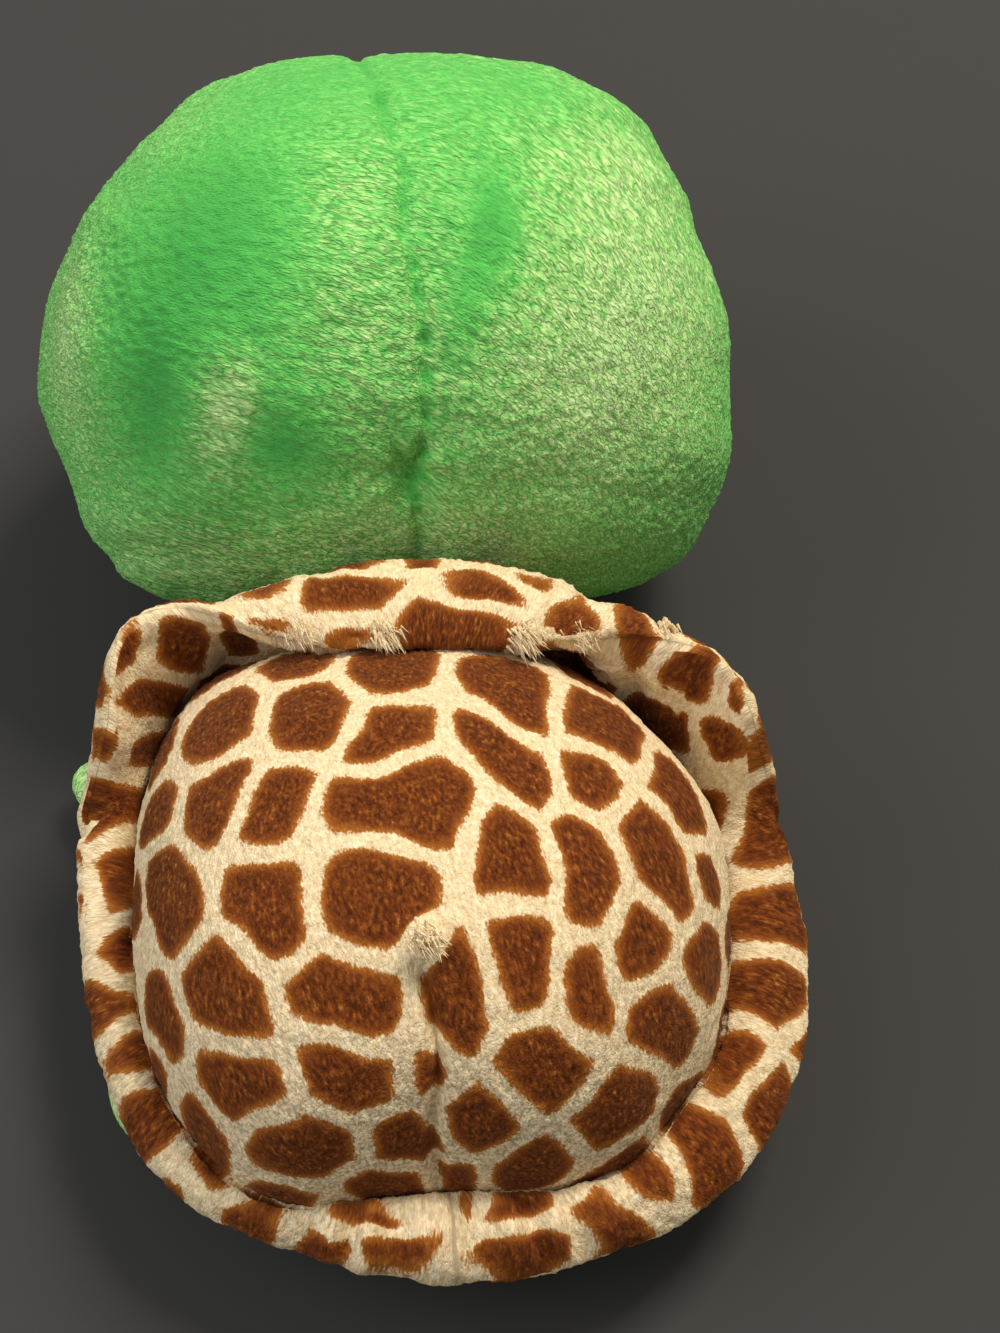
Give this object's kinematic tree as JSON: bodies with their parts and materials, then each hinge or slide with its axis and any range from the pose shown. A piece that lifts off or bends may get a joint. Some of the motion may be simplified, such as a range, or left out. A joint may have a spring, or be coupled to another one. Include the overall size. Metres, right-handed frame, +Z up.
{
  "type": "plush turtle",
  "caption": "Small plush turtle lying on its belly: big round head, domed printed shell with a padded brim curled up behind the head, short flippers.",
  "frame": {"origin": "middle of the toy's length and width, on the surface it lies on", "axes": "+Y towards the head, +X to the toy's right seen from behind, +Z up"},
  "size_m": [0.0923, 0.163, 0.0773],
  "materials": {
    "green_plush": "short velvety pile",
    "printed_plush": "short velvety pile, brown patches printed on cream",
    "fibre_fill": "polyester fibre fill",
    "pouch_fabric": "thin non-woven fabric",
    "black_thread": "embroidery thread",
    "pellet_plastic": "small moulded pellets",
    "eye_plastic": "polished black",
    "washer_plastic": "moulded white"
  },
  "bodies": {
    "torso": {"shell_top": "printed_plush", "belly_panel": "green_plush", "brim_upper": "printed_plush", "brim_lower": "printed_plush", "brim_batting": "fibre_fill", "body_stuffing": "fibre_fill", "pellet_pouch_upper": "pouch_fabric", "pellet_pouch_lower": "pouch_fabric", "pellets": "pellet_plastic"},
    "neck": {"neck_cover": "green_plush", "neck_stuffing": "fibre_fill"},
    "head": {"head_right": "green_plush", "head_left": "green_plush", "head_stuffing": "fibre_fill", "eye_right": "eye_plastic", "eye_left": "eye_plastic", "eye_washer_right": "washer_plastic", "eye_washer_left": "washer_plastic", "nostril_right": "black_thread", "nostril_left": "black_thread", "mouth_stitch": "black_thread"},
    "front_flipper_right": {"front_flipper_right_top": "green_plush", "front_flipper_right_bottom": "green_plush", "front_flipper_right_fill": "fibre_fill"},
    "front_flipper_left": {"front_flipper_left_top": "green_plush", "front_flipper_left_bottom": "green_plush", "front_flipper_left_fill": "fibre_fill"},
    "rear_flipper_right": {"rear_flipper_right_top": "green_plush", "rear_flipper_right_bottom": "green_plush", "rear_flipper_right_fill": "fibre_fill"},
    "rear_flipper_left": {"rear_flipper_left_top": "green_plush", "rear_flipper_left_bottom": "green_plush", "rear_flipper_left_fill": "fibre_fill"},
    "tail": {"tail_top": "green_plush", "tail_bottom": "green_plush", "tail_fill": "fibre_fill"}
  },
  "joints": [
    {"name": "head_turn", "type": "hinge", "parent": "torso", "child": "neck", "pos_m": [-0.00205, 0.0027, 0.024], "axis": [0, 0, 1], "range_deg": [-12, 12], "stiffness_Nm_per_rad": 0.4},
    {"name": "head_nod", "type": "hinge", "parent": "neck", "child": "head", "pos_m": [-0.00205, 0.0027, 0.024], "axis": [1, 0, 0], "range_deg": [-18, 4], "stiffness_Nm_per_rad": 0.5},
    {"name": "front_flipper_right_flap", "type": "hinge", "parent": "torso", "child": "front_flipper_right", "pos_m": [0.02628, -0.01153, 0.008], "axis": [-0.6428, 0.766, 0], "range_deg": [-12, 55], "stiffness_Nm_per_rad": 0.002},
    {"name": "front_flipper_left_flap", "type": "hinge", "parent": "torso", "child": "front_flipper_left", "pos_m": [-0.03038, -0.01153, 0.008], "axis": [-0.6428, -0.766, 0], "range_deg": [-12, 55], "stiffness_Nm_per_rad": 0.002},
    {"name": "rear_flipper_right_flap", "type": "hinge", "parent": "torso", "child": "rear_flipper_right", "pos_m": [0.03132, -0.04878, 0.006], "axis": [0.3746, 0.9272, 0], "range_deg": [-10, 45], "stiffness_Nm_per_rad": 0.001},
    {"name": "rear_flipper_left_flap", "type": "hinge", "parent": "torso", "child": "rear_flipper_left", "pos_m": [-0.03542, -0.04878, 0.006], "axis": [0.3746, -0.9272, 0], "range_deg": [-10, 45], "stiffness_Nm_per_rad": 0.001},
    {"name": "tail_flap", "type": "hinge", "parent": "torso", "child": "tail", "pos_m": [-0.00205, -0.07278, 0.009], "axis": [1, 0, 0], "range_deg": [-12, 45], "stiffness_Nm_per_rad": 0.0003}
  ]
}
